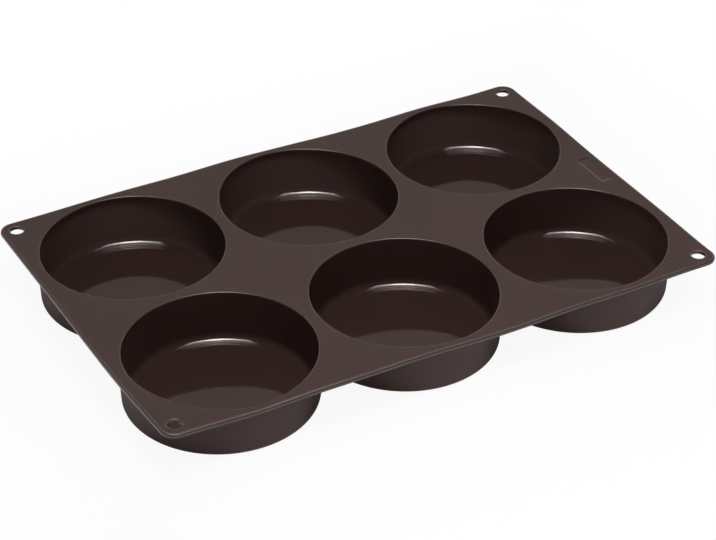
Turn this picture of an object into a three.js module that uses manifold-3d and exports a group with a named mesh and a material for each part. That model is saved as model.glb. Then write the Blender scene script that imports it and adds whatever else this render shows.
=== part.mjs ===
// Burger bun mould: a flat silicone sheet with six round cups hanging from it, and a hole in each
// corner to hang it up by. Millimetres, +Z up, +X along the long side. The origin lies on the surface
// that the cups stand on, under the middle of the sheet.

import * as THREE from 'three';
import { mergeVertices } from 'three/addons/utils/BufferGeometryUtils.js';
import Module from 'manifold-3d';

const wasm = await Module();
wasm.setup();

// Cups
const cupHeight = 30;          // from the surface it stands on to the top of the sheet
const mouthRadius = 50;        // inside of a cup at the top of the sheet
const wallDraft = 1;           // how much the wall draws in from the mouth to the foot
const wallThickness = 2;
const floorThickness = 2;
const innerHeelRound = 4;      // where the wall runs into the floor, inside the cup
const outerHeelRound = 4;      // the same corner on the outside
const mouthRound = 0.8;        // rounded edge of the mouth
const rootFillet = 0.8;        // where the outer wall runs into the underside of the sheet

// Places of the cups, with the strip of sheet left between the roots of neighbouring walls
const columnNames = ['left', 'middle', 'right'];
const rowNames = ['front', 'rear'];
const columnGap = 2;
const rowGap = 1.5;

// Sheet, with the strip of its underside left between the outermost walls and the lip along its edge
const sheetThickness = 2;
const endShelf = 3.25;         // at the short ends
const sideShelf = 0.5;         // along the long sides
const lipWidth = 1.3;
const lipDrop = 0.7;           // how far the lip reaches below the underside
const sheetCornerRadius = 8;
const sheetEdgeRound = 0.5;

// Hanging holes
const hangHoleRadius = 4;
const hangHoleInset = 8.75;    // from a hole's centre to both edges of its corner

// Fineness of the round stretches
const roundSegments = 48;
const hangHoleSegments = 24;
const heelSegments = 3;
const edgeSegments = 2;
const cornerSegments = 8;
const cutOverrun = 1;          // how far a cutting body stands past the face that it cuts

// Sizes that follow from those above
const sheetUnderside = cupHeight - sheetThickness;
const innerRadiusAt = (z) => mouthRadius - wallDraft * (cupHeight - z) / cupHeight;
const outerRadiusAt = (z) => innerRadiusAt(z) + wallThickness;
const innerHeelTop = floorThickness + innerHeelRound;
const floorRadius = innerRadiusAt(innerHeelTop) - innerHeelRound;
const rootRadius = outerRadiusAt(sheetUnderside) + rootFillet;
const columnPitch = 2 * rootRadius + columnGap;
const rowPitch = 2 * rootRadius + rowGap;
const columnX = columnNames.map((name, i) => (i - (columnNames.length - 1) / 2) * columnPitch);
const rowY = rowNames.map((name, i) => (i - (rowNames.length - 1) / 2) * rowPitch);
const halfLength = Math.max(...columnX) + rootRadius + endShelf + lipWidth;
const halfWidth = Math.max(...rowY) + rootRadius + sideShelf + lipWidth;

// Silicone is dark brown all through: polished where the dough lies, satin on the outside of the cups
const polishedRoughness = 0.3;
const satinRoughness = 0.5;

function silicone(roughness) {
  return new THREE.MeshStandardMaterial({ color: 0x3a2c29, roughness, metalness: 0 });
}

// A closed geometry as a solid that can be cut, with shared corners merged and slivers on the axis dropped
function solidOf(geometry) {
  const bare = geometry.clone();
  bare.deleteAttribute('normal');
  bare.deleteAttribute('uv');
  const merged = mergeVertices(bare, 1e-4);
  const corners = merged.index.array;
  const triangles = [];
  for (let i = 0; i < corners.length; i += 3) {
    const [a, b, c] = corners.slice(i, i + 3);
    if (a !== b && b !== c && c !== a) triangles.push(a, b, c);
  }
  return new wasm.Manifold(new wasm.Mesh({
    numProp: 3,
    vertProperties: merged.attributes.position.array,
    triVerts: new Uint32Array(triangles),
  }));
}

// The outside of a solid as a geometry again
function geometryOf(solid) {
  const { vertProperties, triVerts } = solid.getMesh();
  const geometry = new THREE.BufferGeometry();
  geometry.setAttribute('position', new THREE.BufferAttribute(vertProperties, 3));
  geometry.setIndex(new THREE.BufferAttribute(triVerts, 1));
  geometry.computeVertexNormals();
  return geometry;
}

// A body turned about the Z axis from a profile of [radius, height] points
function turned(profile, segments = roundSegments) {
  const points = profile.map(([radius, height]) => new THREE.Vector2(radius, height));
  return new THREE.LatheGeometry(points, segments).rotateX(Math.PI / 2);
}

// Points of an arc in a profile, from one angle to another in degrees
function arc(centreRadius, centreHeight, radius, from, to, segments) {
  return Array.from({ length: segments + 1 }, (unused, i) => {
    const angle = THREE.MathUtils.degToRad(from + (to - from) * i / segments);
    return [centreRadius + radius * Math.cos(angle), centreHeight + radius * Math.sin(angle)];
  });
}

// Outline of the sheet with round corners, drawn in from its edge by an inset
function sheetOutline(inset) {
  const radius = sheetCornerRadius - inset;
  const x = halfLength - inset - radius;
  const y = halfWidth - inset - radius;
  const outline = new THREE.Shape();
  outline.absarc(x, y, radius, 0, Math.PI / 2);
  outline.absarc(-x, y, radius, Math.PI / 2, Math.PI);
  outline.absarc(-x, -y, radius, Math.PI, 1.5 * Math.PI);
  outline.absarc(x, -y, radius, 1.5 * Math.PI, 2 * Math.PI);
  outline.closePath();
  return outline;
}

// Sheet: a slab with rounded edges, hollowed from below inside its lip, then cut for mouths and holes
function makeSheet() {
  const slabBottom = sheetUnderside - lipDrop;
  const slab = new THREE.ExtrudeGeometry(sheetOutline(0), {
    depth: cupHeight - slabBottom - 2 * sheetEdgeRound,
    curveSegments: cornerSegments,
    bevelThickness: sheetEdgeRound,
    bevelSize: sheetEdgeRound,
    bevelOffset: -sheetEdgeRound,
    bevelSegments: edgeSegments,
  }).translate(0, 0, slabBottom + sheetEdgeRound);

  const hollow = new THREE.ExtrudeGeometry(sheetOutline(lipWidth), {
    depth: lipDrop + cutOverrun,
    curveSegments: cornerSegments,
    bevelEnabled: false,
  }).translate(0, 0, slabBottom - cutOverrun);

  const mouthWall = innerRadiusAt(sheetUnderside);
  const mouth = turned([
    [0, slabBottom - cutOverrun],
    [mouthWall, slabBottom - cutOverrun],
    [mouthWall, sheetUnderside],
    ...arc(mouthRadius + mouthRound, cupHeight - mouthRound, mouthRound, 180, 90, edgeSegments),
    [mouthRadius + mouthRound, cupHeight + cutOverrun],
    [0, cupHeight + cutOverrun],
  ]);

  const hangHoleLength = cupHeight - slabBottom + 2 * cutOverrun;
  const hangHole = new THREE.CylinderGeometry(hangHoleRadius, hangHoleRadius, hangHoleLength, hangHoleSegments)
    .rotateX(Math.PI / 2)
    .translate(0, 0, slabBottom - cutOverrun + hangHoleLength / 2);

  let sheet = solidOf(slab).subtract(solidOf(hollow));
  for (const x of columnX) {
    for (const y of rowY) {
      sheet = sheet.subtract(solidOf(mouth.clone().translate(x, y, 0)));
    }
  }
  for (const x of [-1, 1]) {
    for (const y of [-1, 1]) {
      const holeX = x * (halfLength - hangHoleInset);
      const holeY = y * (halfWidth - hangHoleInset);
      sheet = sheet.subtract(solidOf(hangHole.clone().translate(holeX, holeY, 0)));
    }
  }
  return geometryOf(sheet);
}

// Wall of a cup, from the underside of the sheet down to the heel that it stands on
function makeWall() {
  const footRadius = outerRadiusAt(outerHeelRound) - outerHeelRound;
  const filletBottom = sheetUnderside - rootFillet;
  const profile = [
    [floorRadius, 0],
    ...arc(footRadius, outerHeelRound, outerHeelRound, -90, 0, heelSegments),
    ...arc(rootRadius, filletBottom, rootFillet, 180, 90, edgeSegments),
    [innerRadiusAt(sheetUnderside), sheetUnderside],
    ...arc(floorRadius, innerHeelTop, innerHeelRound, 0, -90, heelSegments),
  ];
  return turned([...profile, profile[0]]);
}

// Floor of a cup: a flat disc inside the heel of its wall
function makeFloor() {
  return turned([[0, 0], [floorRadius, 0], [floorRadius, floorThickness], [0, floorThickness]]);
}

function addMesh(parent, name, geometry, roughness) {
  const mesh = new THREE.Mesh(geometry, silicone(roughness));
  mesh.name = name;
  parent.add(mesh);
}

const mould = new THREE.Group();
addMesh(mould, 'top_sheet', makeSheet(), polishedRoughness);

const wall = makeWall();
const floor = makeFloor();
rowNames.forEach((rowName, row) => {
  columnNames.forEach((columnName, column) => {
    const cup = new THREE.Group();
    cup.position.set(columnX[column], rowY[row], 0);
    addMesh(cup, `${rowName}_${columnName}_cup_wall`, wall, satinRoughness);
    addMesh(cup, `${rowName}_${columnName}_cup_floor`, floor, polishedRoughness);
    mould.add(cup);
  });
});

export default mould;
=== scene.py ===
import math

import bmesh
import bpy
from mathutils import Euler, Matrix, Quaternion, Vector
from mathutils.geometry import delaunay_2d_cdt


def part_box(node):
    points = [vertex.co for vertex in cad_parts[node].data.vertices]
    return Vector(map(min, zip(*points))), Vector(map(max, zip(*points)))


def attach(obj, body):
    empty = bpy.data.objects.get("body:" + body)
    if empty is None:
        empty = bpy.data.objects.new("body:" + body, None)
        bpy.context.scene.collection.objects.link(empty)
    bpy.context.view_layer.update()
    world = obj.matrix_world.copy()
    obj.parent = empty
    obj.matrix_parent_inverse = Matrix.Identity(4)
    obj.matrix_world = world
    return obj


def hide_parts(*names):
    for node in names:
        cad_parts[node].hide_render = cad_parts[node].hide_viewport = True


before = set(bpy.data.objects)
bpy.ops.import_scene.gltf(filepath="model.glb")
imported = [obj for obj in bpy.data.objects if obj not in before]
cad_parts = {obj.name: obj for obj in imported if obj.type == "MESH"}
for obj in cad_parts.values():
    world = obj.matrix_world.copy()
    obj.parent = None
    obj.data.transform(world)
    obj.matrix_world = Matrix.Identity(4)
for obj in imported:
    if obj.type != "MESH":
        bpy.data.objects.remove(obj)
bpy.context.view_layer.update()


# Top sheet
# The flat sheet that carries the cups: 2 mm of dark brown silicone, moulded in one shot with them, with a
# thin lip under its edge and a hole in each corner to hang it up by. Being soft, it lies a little wavy.
# The neck of each cup, the first 2 mm of its wall, is made with the sheet, so that no seam shows there.
mm = 0.001
sheet_low, sheet_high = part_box("top_sheet")
sheet_middle = Vector((0, 0))
sheet_half = Vector((sheet_high.x, sheet_high.y))
sheet_top = sheet_high.z
sheet_thickness = 2 * mm
sheet_underside = sheet_top - sheet_thickness
sheet_corner_radius = 8 * mm
edge_round = 1.3 * mm
foot_round = 0.9 * mm
lip_width = 1.3 * mm
lip_round = 0.3 * mm
mouth_radius = 50 * mm
mouth_round = 0.5 * mm
wall_draft = 1 * mm
wall_thickness = 2 * mm
root_fillet = 0.8 * mm
neck_height = 2 * mm
neck_bottom = sheet_underside - neck_height
hang_hole_radius = 3.7 * mm
hang_hole_inset = 8.75 * mm
hang_hole_round = 0.7 * mm
hang_hole_foot_round = 0.2 * mm
panel_size = Vector((8 * mm, 26 * mm))
panel_depth = 0.19 * mm
panel_slope = 0.9 * mm
panel_corner_radius = 1.2 * mm
panel_from_end = 8.75 * mm

# How finely the round stretches and the flat faces are divided
flat_margin = 0.2 * mm
outline_step = 3 * mm
corner_steps = 12
round_steps = 6
panel_steps = 8
mouth_segments = 144
hang_hole_segments = 48
fill_spacing = 3.5 * mm
fill_clearance = 1.6 * mm
same_point = 1e-9
weld_distance = 1e-6
crease_angle = math.radians(40)

cup_names = [f"{row}_{column}" for row in ("front", "rear") for column in ("left", "middle", "right")]


def cup_centre(cup):
    low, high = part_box(f"{cup}_cup_wall")
    return Vector(((low.x + high.x) / 2, (low.y + high.y) / 2))


def inner_radius(z):
    return mouth_radius - wall_draft * (sheet_top - z) / sheet_top


def outer_radius(z):
    return inner_radius(z) + wall_thickness


def eased(t):
    """Goes from 0 to 1 with a soft start and a soft end."""
    t = min(1, max(0, t))
    return t * t * (3 - 2 * t)


def arc(centre, radius, start, stop, steps):
    """Points of a profile on an arc, from one angle to another in degrees."""
    angles = [math.radians(start + (stop - start) * i / steps) for i in range(steps + 1)]
    return [(centre[0] + radius * math.cos(a), centre[1] + radius * math.sin(a)) for a in angles]


def circle(centre, radius, segments):
    turns = [2 * math.pi * i / segments for i in range(segments)]
    return [(centre.x + radius * math.cos(t), centre.y + radius * math.sin(t)) for t in turns]


def rounded_rectangle(centre, half, radius, inset):
    """A rectangle with round corners, drawn in by an inset, with the same count of points at any inset."""
    points = []
    for quarter, (sx, sy) in enumerate(((1, 1), (-1, 1), (-1, -1), (1, -1))):
        corner = (centre.x + sx * (half.x - radius), centre.y + sy * (half.y - radius))
        points += arc(corner, radius - inset, 90 * quarter, 90 * quarter + 90, corner_steps)
        run = 2 * (half.x if quarter % 2 == 0 else half.y) - 2 * radius
        along = Vector((-sx, 0)) if quarter % 2 == 0 else Vector((0, -sy))
        start = Vector(points[-1])
        count = max(1, round(run / outline_step))
        points += [tuple(start + along * run * i / count) for i in range(1, count)]
    return points


def sheet_outline(inset):
    return rounded_rectangle(sheet_middle, sheet_half, sheet_corner_radius, inset)


def panel_outline(inset):
    centre = Vector((sheet_half.x - panel_from_end, 0))
    return rounded_rectangle(centre, panel_size / 2, panel_corner_radius, inset)


def drawn_in(outline, profile):
    """An outline at each inset and height of a profile."""
    return [[(x, y, z) for x, y in outline(inset)] for inset, z in profile]


def turned(centre, profile, segments):
    """Circles round a centre, at each radius and height of a profile."""
    return [[(x, y, z) for x, y in circle(centre, radius, segments)] for radius, z in profile]


def bridge(bm, loops, finish):
    """Joins closed loops of points, each to the next, with a band of faces."""
    rings = [[bm.verts.new(point) for point in loop] for loop in loops]
    for upper, lower in zip(rings, rings[1:]):
        for i in range(len(upper)):
            j = (i + 1) % len(upper)
            bm.faces.new((upper[i], lower[i], lower[j], upper[j])).material_index = finish


def in_face(point, loops):
    """Whether a point lies inside the first loop and outside the others."""
    crossings = 0
    for loop in loops:
        for (ax, ay), (bx, by) in zip(loop, loop[1:] + loop[:1]):
            if (ay > point.y) != (by > point.y):
                crossings += point.x < ax + (bx - ax) * (point.y - ay) / (by - ay)
    return crossings % 2 == 1


def fill_flat(bm, outer, holes, level, finish):
    """A flat face between an outer loop and holes, with points all over it so that it can be waved."""
    loops = [outer, *holes]
    border = []
    edges = []
    for loop in loops:
        first = len(border)
        border += [Vector(p) for p in loop]
        edges += [(first + i, first + (i + 1) % len(loop)) for i in range(len(loop))]
    low = Vector((min(p.x for p in border), min(p.y for p in border)))
    high = Vector((max(p.x for p in border), max(p.y for p in border)))
    row_height = fill_spacing * math.sqrt(3) / 2
    inside = []
    for row in range(1, int((high.y - low.y) / row_height) + 1):
        for column in range(int((high.x - low.x) / fill_spacing) + 1):
            point = low + Vector(((column + 0.5 * (row % 2)) * fill_spacing, row * row_height))
            if in_face(point, loops) and min((point - b).length for b in border) > fill_clearance:
                inside.append(point)
    found, _, triangles, _, _, _ = delaunay_2d_cdt(border + inside, edges, [], 0, same_point)
    verts = [bm.verts.new((p.x, p.y, level)) for p in found]
    for triangle in triangles:
        middle = sum((found[i] for i in triangle), Vector((0, 0))) / 3
        if in_face(middle, loops):
            bm.faces.new([verts[i] for i in triangle]).material_index = finish


# How the soft sheet lies: x and y of a place, how far it is up or down there, how far that reaches, in mm
lie_of_sheet = [
    (-160, 108, -0.4, 32),
    (-90, 108, 0.85, 34),
    (-20, 108, 1.6, 34),
    (20, 108, 0.35, 20),
    (105, 108, 1.1, 28),
    (165, 108, 0.9, 24),
    (165, 60, 1.4, 34),
    (165, 0, 0.1, 30),
    (165, -92, -0.7, 26),
    (-165, -70, 0.7, 20),
    (-112, -108, -1.5, 26),
    (-55, -108, -0.7, 30),
    (30, -108, -2.0, 40),
    (105, -108, -1.3, 30),
]
# The near left corner is pushed in: its place, how far it goes along, how far that reaches, in mm
pushed_corner = Vector((-165, -108))
corner_push = 2.5
push_reach = 28
# Below this height the cups stand still
still_height = 6 * mm


def waved(x, y):
    """How far the sheet is up or down at a place."""
    return sum(
        rise * mm * math.exp(-((x / mm - at_x) ** 2 + (y / mm - at_y) ** 2) / reach ** 2)
        for at_x, at_y, rise, reach in lie_of_sheet
    )


def pushed(x, y):
    """How far the sheet is pushed along at a place."""
    from_corner = Vector((x / mm, y / mm)) - pushed_corner
    return corner_push * mm * math.exp(-from_corner.length_squared / push_reach ** 2)


def plug(tree, node, inputs):
    """Fills a node's inputs, by name or number: an output is linked, and a plain value is set."""
    for socket, value in inputs.items():
        if isinstance(value, bpy.types.NodeSocket):
            tree.links.new(value, node.inputs[socket])
        else:
            node.inputs[socket].default_value = value


def add_node(tree, kind, inputs, **settings):
    """A new node in the tree of a material or of the world."""
    node = tree.nodes.new(kind)
    for name, value in settings.items():
        setattr(node, name, value)
    plug(tree, node, inputs)
    return node


def noise(tree, place, scale, detail):
    inputs = {"Vector": place, "Scale": scale, "Detail": detail}
    return add_node(tree, "ShaderNodeTexNoise", inputs).outputs["Fac"]


def carried(tree, value, start, stop, low, high, way="LINEAR"):
    """A value carried to another range: from start to stop it goes from low to high."""
    inputs = {"Value": value, "From Min": start, "From Max": stop, "To Min": low, "To Max": high}
    return add_node(tree, "ShaderNodeMapRange", inputs, interpolation_type=way).outputs["Result"]


# Faint clouds in the colour, smears in the gloss, and the range in which most of a noise lies
clouds_per_metre = 28
smears_per_metre = 60
noise_low = 0.3
noise_high = 0.7
glow_tint = (0.86, 0.73, 0.68, 1)


def silicone(name, browns, gloss, grain, shine, lit_through=0):
    """Silicone with clouds between two browns, an uneven gloss and the grain that the tool leaves on it."""
    material = bpy.data.materials.new(name)
    material.use_nodes = True
    tree = material.node_tree
    place = add_node(tree, "ShaderNodeTexCoord", {}).outputs["Object"]

    clouds = noise(tree, place, scale=clouds_per_metre, detail=4)
    colour = add_node(tree, "ShaderNodeValToRGB", {"Fac": clouds})
    for stop, position, brown in zip(colour.color_ramp.elements, (noise_low, noise_high), browns):
        stop.position = position
        stop.color = (*brown, 1)

    smears = noise(tree, place, scale=smears_per_metre, detail=5)
    grain_size, grain_height = grain
    tooling = noise(tree, place, scale=1 / grain_size, detail=3)
    bump = add_node(tree, "ShaderNodeBump", {"Height": tooling, "Strength": 1, "Distance": grain_height})

    surface = tree.nodes["Principled BSDF"]
    plug(tree, surface, {
        "Base Color": colour.outputs["Color"],
        "Roughness": carried(tree, smears, noise_low, noise_high, *gloss),
        "Normal": bump.outputs["Normal"],
        "IOR": 1.5,
        "Specular IOR Level": shine,
    })
    glow = add_node(tree, "ShaderNodeBsdfTranslucent", {"Color": glow_tint})
    layers = {"Fac": lit_through, 1: surface.outputs["BSDF"], 2: glow.outputs["BSDF"]}
    blend = add_node(tree, "ShaderNodeMixShader", layers)
    plug(tree, tree.nodes["Material Output"], {"Surface": blend.outputs["Shader"]})
    return material


polished_brown = ((0.0255, 0.0133, 0.0115), (0.0289, 0.0152, 0.0133))
satin_brown = ((0.0455, 0.0230, 0.0218), (0.0505, 0.0257, 0.0243))
# The brown of the dull edge and rims is lighter and less red than the polished brown: painted sheen,
# standing in for the soft glints of light along them
painted_sheen_brown = ((0.044, 0.0265, 0.0245), (0.049, 0.0295, 0.0275))
polished_gloss = (0.04, 0.07)
satin_gloss = (0.42, 0.5)
rim_gloss = (0.2, 0.28)
# The size and the height of the grain
polished_grain = (6 * mm, 0.006 * mm)
satin_grain = (0.5 * mm, 0.02 * mm)
dull_grain = (0.5 * mm, 0.01 * mm)
# The cups are thin enough for a little light to come through, and their brown is lighter to make up for it
cup_glow = 0.15
cup_lift = 1.02
polished_cup_brown = [[c * cup_lift for c in brown] for brown in polished_brown]
satin_cup_brown = [[c / (1 - cup_glow) for c in brown] for brown in satin_brown]

# Polished and satin, for the sheet and for the cups, are what the tool leaves. The upper edge and the rims
# of the hanging holes are dull, the side of the edge is trimmed, and the mouths have half dull rims. The
# dull edge and all these rims have a lighter, less red brown, which is painted sheen.
polished, satin, polished_cup, satin_cup, dull_painted_sheen, trimmed, rim = range(7)
moulded = [
    silicone("polished_silicone", polished_brown, polished_gloss, polished_grain, shine=0.5),
    silicone("satin_silicone", satin_brown, satin_gloss, satin_grain, shine=0.22),
    silicone(
        "polished_cup_silicone", polished_cup_brown, polished_gloss, polished_grain,
        shine=0.6, lit_through=cup_glow,
    ),
    silicone(
        "satin_cup_silicone", satin_cup_brown, satin_gloss, satin_grain,
        shine=0.33, lit_through=cup_glow,
    ),
    silicone("dull_painted_sheen_silicone", painted_sheen_brown, satin_gloss, dull_grain, shine=0.5),
    silicone("trimmed_silicone", polished_brown, polished_gloss, polished_grain, shine=0.75),
    silicone("rim_silicone", painted_sheen_brown, rim_gloss, dull_grain, shine=0.5),
]


def new_piece(name, bm):
    """A smooth piece of the moulding, waved as the sheet lies. The wave dies out down the cups' walls."""
    bmesh.ops.remove_doubles(bm, verts=bm.verts, dist=weld_distance)
    bmesh.ops.recalc_face_normals(bm, faces=bm.faces)
    for vert in bm.verts:
        share = eased((vert.co.z - still_height) / (neck_bottom - still_height))
        vert.co.z += waved(vert.co.x, vert.co.y) * share
        vert.co.x += pushed(vert.co.x, vert.co.y) * share
    mesh = bpy.data.meshes.new(name)
    bm.to_mesh(mesh)
    bm.free()
    for material in moulded:
        mesh.materials.append(material)
    mesh.polygons.foreach_set("use_smooth", [True] * len(mesh.polygons))
    mesh.set_sharp_from_angle(angle=crease_angle)
    piece = bpy.data.objects.new(name, mesh)
    bpy.context.scene.collection.objects.link(piece)
    return piece


sheet = bmesh.new()

# Edge of the sheet, as insets and heights: over its round, down its side and under its lip
edge_middle = (edge_round, sheet_top - edge_round)
edge_top = [
    (edge_round + flat_margin, sheet_top),
    *arc(edge_middle, edge_round, 90, 135, round_steps),
]
edge_side = [
    *arc(edge_middle, edge_round, 135, 180, round_steps),
    *arc((foot_round, sheet_low.z + foot_round), foot_round, 180, 270, round_steps),
]
edge_under = [
    (foot_round, sheet_low.z),
    *arc((lip_width - lip_round, sheet_low.z + lip_round), lip_round, 270, 360, round_steps),
    (lip_width, sheet_underside),
]
# The upper round of the edge gets the lighter brown of painted sheen
bridge(sheet, drawn_in(sheet_outline, edge_top), dull_painted_sheen)
bridge(sheet, drawn_in(sheet_outline, edge_side), trimmed)
bridge(sheet, drawn_in(sheet_outline, edge_under), satin)

# Mouths, as radii and heights: the rim, with the lighter brown of painted sheen, and the neck inside, the
# neck outside and the fillet at its root
mouth_rim = [
    (mouth_radius + mouth_round + flat_margin, sheet_top),
    *arc((mouth_radius + mouth_round, sheet_top - mouth_round), mouth_round, 90, 180, round_steps),
]
neck_inside = [
    mouth_rim[-1],
    (inner_radius(sheet_underside), sheet_underside),
    (inner_radius(neck_bottom), neck_bottom),
]
root_radius = outer_radius(sheet_underside) + root_fillet
neck_outside = [
    (inner_radius(neck_bottom), neck_bottom),
    (outer_radius(neck_bottom), neck_bottom),
    *arc((root_radius, sheet_underside - root_fillet), root_fillet, 180, 90, round_steps),
]
cuts_above = []
cuts_below = []
for cup in cup_names:
    centre = cup_centre(cup)
    bridge(sheet, turned(centre, mouth_rim, mouth_segments), rim)
    bridge(sheet, turned(centre, neck_inside, mouth_segments), polished_cup)
    bridge(sheet, turned(centre, neck_outside, mouth_segments), satin_cup)
    cuts_above.append(circle(centre, mouth_rim[0][0], mouth_segments))
    cuts_below.append(circle(centre, neck_outside[-1][0], mouth_segments))

# Hanging holes, as radii and heights: the dull rim above, with the lighter brown of painted sheen, then the
# wall and its sharper foot
rim_middle = (hang_hole_radius + hang_hole_round, sheet_top - hang_hole_round)
foot_middle = (hang_hole_radius + hang_hole_foot_round, sheet_underside + hang_hole_foot_round)
hang_hole_rim = [
    (rim_middle[0] + flat_margin, sheet_top),
    *arc(rim_middle, hang_hole_round, 90, 180, round_steps),
]
hang_hole_wall = [
    hang_hole_rim[-1],
    *arc(foot_middle, hang_hole_foot_round, 180, 270, round_steps),
]
for sx in (-1, 1):
    for sy in (-1, 1):
        centre = Vector((sx * (sheet_half.x - hang_hole_inset), sy * (sheet_half.y - hang_hole_inset)))
        bridge(sheet, turned(centre, hang_hole_rim, hang_hole_segments), dull_painted_sheen)
        bridge(sheet, turned(centre, hang_hole_wall, hang_hole_segments), polished)
        cuts_above.append(circle(centre, hang_hole_rim[0][0], hang_hole_segments))
        cuts_below.append(circle(centre, hang_hole_wall[-1][0], hang_hole_segments))

# A bare sunk panel at the right end, with a soft slope round it
panel_shares = [i / panel_steps for i in range(panel_steps + 1)]
panel_profile = [(t * panel_slope, sheet_top - panel_depth * eased(t)) for t in panel_shares]
bridge(sheet, drawn_in(panel_outline, panel_profile), polished)
cuts_above.append(panel_outline(0))

fill_flat(sheet, sheet_outline(edge_top[0][0]), cuts_above, sheet_top, polished)
fill_flat(sheet, sheet_outline(edge_under[-1][0]), cuts_below, sheet_underside, satin)
fill_flat(sheet, panel_outline(panel_profile[-1][0]), [], sheet_top - panel_depth, polished)

top_sheet = new_piece("top_sheet_moulded", sheet)
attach(top_sheet, "root")
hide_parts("top_sheet")


# Cup walls
# The six walls that hang from the sheet, 2 mm of the same silicone with a slight draft to let the buns out.
# Each is moulded in one with the sheet and its floor, polished inside and satin outside, and stands on the
# heel where it runs round into the floor. The soft floors settle a little, each in its own way.
floor_thickness = 1.3 * mm
inner_heel_round = 4.5 * mm
outer_heel_round = 4 * mm
floor_margin = 0.6 * mm
heel_steps = 16
wall_steps = 8
inner_heel_top = floor_thickness + inner_heel_round
heel_end = inner_radius(inner_heel_top) - inner_heel_round
foot_radius = outer_radius(outer_heel_round) - outer_heel_round
floor_edge = heel_end - floor_margin


def heights(start, stop):
    return [start + (stop - start) * i / wall_steps for i in range(wall_steps + 1)]


wall_inside = [
    *[(inner_radius(z), z) for z in heights(neck_bottom, inner_heel_top)[:-1]],
    *arc((heel_end, inner_heel_top), inner_heel_round, 0, -90, heel_steps),
    (floor_edge, floor_thickness),
]
wall_outside = [
    (floor_edge, floor_thickness),
    (floor_edge, 0),
    *arc((foot_radius, outer_heel_round), outer_heel_round, -90, 0, heel_steps),
    *[(outer_radius(z), z) for z in heights(outer_heel_round, neck_bottom)[1:]],
    (inner_radius(neck_bottom), neck_bottom),
]
# How the floors settle: the slope of a whole floor, and the slopes of its middle along and across
settled_slopes = {
    "front_left": (-0.0156, -0.006, -0.033),
    "front_middle": (-0.0156, 0.005, -0.030),
    "front_right": (-0.005, 0.016, -0.048),
    "rear_left": (-0.005, -0.006, 0.029),
    "rear_middle": (0.008, 0.005, 0.0155),
    "rear_right": (0.008, 0.016, 0.0098),
}
# How fast the slope of a dished floor grows, from its middle outwards
middle_dish = 0.002 / mm
skin = 0.1 * mm


def settle_floor(bm, cup):
    """Tips and dishes the inside of a cup's floor and heel a little. The outside stays as it is."""
    whole, along, across = settled_slopes[cup]
    centre = cup_centre(cup)
    for vert in bm.verts:
        x, y, z = vert.co.x - centre.x, vert.co.y - centre.y, vert.co.z
        radius = math.hypot(x, y)
        if z > floor_thickness / 2 and radius < inner_radius(z) + skin:
            up_the_wall = eased((z - floor_thickness) / (2 * inner_heel_round))
            vert.co.z += whole * y * (1 - up_the_wall)
            dip = along * x + across * y + middle_dish * radius ** 2 / 2
            vert.co.z += dip * max(0, 1 - (radius / floor_edge) ** 2)


for cup in cup_names:
    centre = cup_centre(cup)
    shell = bmesh.new()
    bridge(shell, turned(centre, wall_inside, mouth_segments), polished_cup)
    bridge(shell, turned(centre, wall_outside, mouth_segments), satin_cup)
    settle_floor(shell, cup)
    wall = new_piece(f"{cup}_wall_moulded", shell)
    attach(wall, "root")
    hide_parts(f"{cup}_cup_wall")


# Cup floors
# The six round floors that the dough lies on, of the same silicone, polished above and satin below.
# Each is moulded in one with its wall, and meets it where the heel runs out.
floor_rings = 20
floor_radii = [floor_edge * i / floor_rings for i in range(floor_rings, 0, -1)]

for cup in cup_names:
    centre = cup_centre(cup)
    disc = bmesh.new()
    for level, finish in ((floor_thickness, polished_cup), (0, satin_cup)):
        face = [(radius, level) for radius in floor_radii]
        bridge(disc, turned(centre, face, mouth_segments), finish)
        hub = disc.verts.new((centre.x, centre.y, level))
        inmost = [disc.verts.new((x, y, level)) for x, y in circle(centre, floor_radii[-1], mouth_segments)]
        for i in range(mouth_segments):
            disc.faces.new((hub, inmost[i], inmost[(i + 1) % mouth_segments])).material_index = finish
    side = [(floor_edge, 0), (floor_edge, floor_thickness)]
    bridge(disc, turned(centre, side, mouth_segments), satin_cup)
    settle_floor(disc, cup)
    floor = new_piece(f"{cup}_floor_moulded", disc)
    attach(floor, "root")
    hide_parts(f"{cup}_cup_floor")


# Studio floor
# A plain pale table top under the mould, wide enough to fill the picture from any side, painted matt grey.
# The camera and the gloss of the silicone see it as white paper, but less so close to the mould, where its
# shadow stays.
table_size = 30
table_grey = (0.48, 0.48, 0.48, 1)
table_roughness = 0.9
seen_near_mould = 0.93
seen_reach = 0.15
mirrored_near_mould = 0.1
mirrored_reach = 0.05

table_mesh = bpy.data.meshes.new("table")
corners = [(sx * table_size / 2, sy * table_size / 2, 0) for sx, sy in ((-1, -1), (1, -1), (1, 1), (-1, 1))]
table_mesh.from_pydata(corners, [], [(0, 1, 2, 3)])
table = bpy.data.objects.new("table", table_mesh)
bpy.context.scene.collection.objects.link(table)

table_paint = bpy.data.materials.new("table_paint")
table_paint.use_nodes = True
paint = table_paint.node_tree
matt = paint.nodes["Principled BSDF"]
plug(paint, matt, {"Base Color": table_grey, "Roughness": table_roughness})
paper = add_node(paint, "ShaderNodeEmission", {})
ray = add_node(paint, "ShaderNodeLightPath", {})

# How far a place lies outside the outline of the sheet
on_table = add_node(paint, "ShaderNodeTexCoord", {}).outputs["Object"]
from_middle = add_node(paint, "ShaderNodeVectorMath", {0: on_table}, operation="ABSOLUTE").outputs["Vector"]
past_edges = {0: from_middle, 1: sheet_high}
from_outline = add_node(paint, "ShaderNodeVectorMath", past_edges, operation="SUBTRACT").outputs["Vector"]
sides = add_node(paint, "ShaderNodeSeparateXYZ", {"Vector": from_outline}).outputs
farther = {0: sides["X"], 1: sides["Y"]}
away = add_node(paint, "ShaderNodeMath", farther, operation="MAXIMUM").outputs["Value"]

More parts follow.
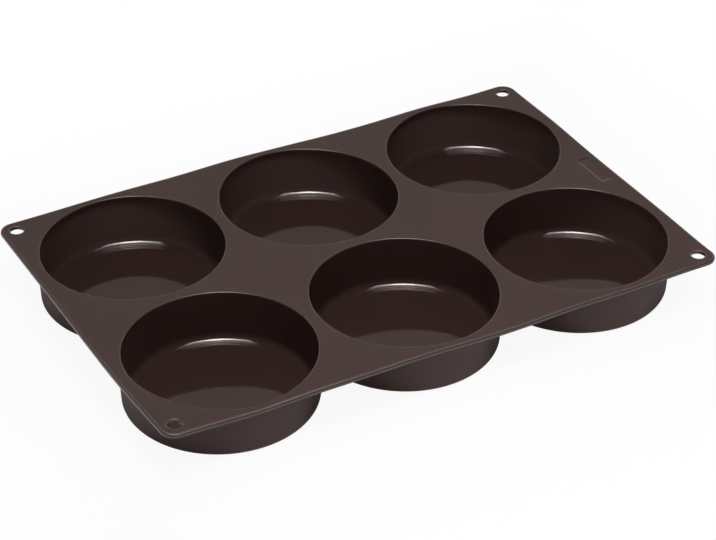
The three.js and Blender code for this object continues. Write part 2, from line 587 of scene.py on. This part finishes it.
seen = carried(paint, away, 0, seen_reach, seen_near_mould, 1, "SMOOTHSTEP")
mirrored = carried(paint, away, 0, mirrored_reach, mirrored_near_mould, 1, "SMOOTHSTEP")
to_camera = {0: ray.outputs["Is Camera Ray"], 1: seen}
to_gloss = {0: ray.outputs["Is Glossy Ray"], 1: mirrored}
seen_white = add_node(paint, "ShaderNodeMath", to_camera, operation="MULTIPLY").outputs["Value"]
mirrored_white = add_node(paint, "ShaderNodeMath", to_gloss, operation="MULTIPLY").outputs["Value"]
either = {0: seen_white, 1: mirrored_white}
white = add_node(paint, "ShaderNodeMath", either, operation="MAXIMUM").outputs["Value"]
layers = {"Fac": white, 1: matt.outputs["BSDF"], 2: paper.outputs["Emission"]}
blend = add_node(paint, "ShaderNodeMixShader", layers)
plug(paint, paint.nodes["Material Output"], {"Surface": blend.outputs["Shader"]})
table_mesh.materials.append(table_paint)


# Light
# A soft studio with a backdrop that is bright low down and behind the mould. A wide softbox on the camera's
# side, 69 degrees up, has a hot middle and a dim upper end, and makes the streaks in the heels. A lamp
# overhead, a small key in front and a low lamp behind, which shines through the rear cups, do the shading.
camera_turn = math.radians(-29.02)
front = Vector((math.sin(camera_turn), -math.cos(camera_turn), 0))
right = Vector((math.cos(camera_turn), math.sin(camera_turn), 0))
up = Vector((0, 0, 1))


def sine(degrees):
    return math.sin(math.radians(degrees))


def cosine(degrees):
    return math.cos(math.radians(degrees))


studio = bpy.data.worlds.new("studio")
bpy.context.scene.world = studio
studio.use_nodes = True
sky = studio.node_tree
direction = add_node(sky, "ShaderNodeTexCoord", {}).outputs["Generated"]
height = add_node(sky, "ShaderNodeSeparateXYZ", {"Vector": direction}).outputs["Z"]

# Colours of the backdrop, at degrees above the table
backdrop_colours = [
    (14, (1.0, 0.98, 0.94)),
    (25, (0.44, 0.37, 0.35)),
    (40, (0.50, 0.43, 0.40)),
    (56, (0.07, 0.06, 0.06)),
]
backdrop = add_node(sky, "ShaderNodeValToRGB", {"Fac": height})
backdrop.color_ramp.elements.remove(backdrop.color_ramp.elements[0])
for number, (degrees, colour) in enumerate(backdrop_colours):
    stops = backdrop.color_ramp.elements
    stop = stops[0] if number == 0 else stops.new(sine(degrees))
    stop.position = sine(degrees)
    stop.color = (*colour, 1)

# The backdrop is bright behind the mould, as far round as these angles, and dim on its other sides.
# Close above the table it is bright all round.
bright_angle = 18
dim_angle = 42
dim_sides = 0.2
horizon_bottom = 6
horizon_top = 14
horizon_glow = 0.8
level_part = add_node(sky, "ShaderNodeVectorMath", {0: direction, 1: (1, 1, 0)}, operation="MULTIPLY")
bearing = add_node(sky, "ShaderNodeVectorMath", {0: level_part.outputs["Vector"]}, operation="NORMALIZE")
back = {0: bearing.outputs["Vector"], 1: -front}
behind = add_node(sky, "ShaderNodeVectorMath", back, operation="DOT_PRODUCT").outputs["Value"]
room = carried(sky, behind, cosine(dim_angle), cosine(bright_angle), dim_sides, 1, "SMOOTHSTEP")
horizon = carried(sky, height, sine(horizon_bottom), sine(horizon_top), horizon_glow, 0)
all_round = add_node(sky, "ShaderNodeMath", {0: room, 1: horizon}, operation="MAXIMUM")
plug(sky, sky.nodes["Background"], {
    "Color": backdrop.outputs["Color"],
    "Strength": all_round.outputs["Value"],
})


def lamp_at(name, shape, width, depth, radiance, place, turn):
    """A flat lamp that the camera doesn't see, with its power worked out from how bright its face is."""
    lamp = bpy.data.lights.new(name, "AREA")
    lamp.shape = shape
    lamp.size = width
    lamp.size_y = depth
    area = width * depth * (math.pi / 4 if shape == "ELLIPSE" else 1)
    lamp.energy = 4 * radiance * area
    holder = bpy.data.objects.new(name, lamp)
    holder.location = place
    holder.rotation_mode = "QUATERNION"
    holder.rotation_quaternion = turn
    holder.visible_camera = False
    bpy.context.scene.collection.objects.link(holder)
    return holder


def facing(way):
    return way.to_track_quat("-Z", "Y")


# Softbox, its glow, its hot middle and its upper end, with their heights in degrees and distances in metres
warm = (1, 0.91, 0.87)
for name, shape, width, depth, radiance, degrees, distance in (
    ("softbox", "RECTANGLE", 1.9, 0.75, 4.5, 69, 2.14),
    ("softbox_glow", "ELLIPSE", 1.3, 0.8, 5.6, 69, 2.12),
    ("softbox_middle", "ELLIPSE", 0.69, 0.8, 8.6, 69, 2.1),
    ("softbox_top", "RECTANGLE", 1.7, 0.9, 1.8, 85, 2.18),
):
    towards = front * cosine(degrees) + up * sine(degrees)
    softbox = lamp_at(name, shape, width, depth, radiance, towards * distance, facing(-towards))
    softbox.data.color = warm
    softbox.visible_diffuse = False

downwards = Euler((0, 0, camera_turn)).to_quaternion()
overhead = lamp_at("overhead", "RECTANGLE", 2.0, 2.0, radiance=1.8, place=up * 2.2, turn=downwards)
overhead.visible_glossy = False

key_place = front * 0.42 + right * 0.08 + up * 0.95
key_target = front * 0.15 + right * 0.06
key_turn = facing(key_target - key_place)
key = lamp_at("front_key", "RECTANGLE", 0.5, 0.4, radiance=1.15, place=key_place, turn=key_turn)
key.data.spread = math.radians(45)
key.visible_glossy = False

back_place = front * -1.15 + up * 0.5
back_turn = facing(-back_place)
back_light = lamp_at("back_light", "RECTANGLE", 0.6, 0.4, radiance=7.5, place=back_place, turn=back_turn)
back_light.visible_glossy = False


# Camera
# It stands where the photograph was taken from, about 1.2 m away with a long lens, 29 degrees to the left
# of the mould's front and 34 degrees above the table.
camera_rise = math.radians(33.79)
camera_roll = math.radians(0.13)
camera_distance = 1.197
image_width = 716
focal_pixels = 2252.6
aim = Vector((-12.03 * mm, -25.1 * mm, sheet_top))
towards_camera = front * math.cos(camera_rise) + up * math.sin(camera_rise)
lens = bpy.data.cameras.new("camera")
lens.sensor_width = 36
lens.lens = focal_pixels * lens.sensor_width / image_width
camera = bpy.data.objects.new("camera", lens)
camera.location = aim + towards_camera * camera_distance
camera.rotation_mode = "QUATERNION"
camera.rotation_quaternion = facing(-towards_camera) @ Quaternion((0, 0, 1), camera_roll)
bpy.context.scene.collection.objects.link(camera)
bpy.context.scene.camera = camera

bpy.context.scene.view_settings.view_transform = "Standard"
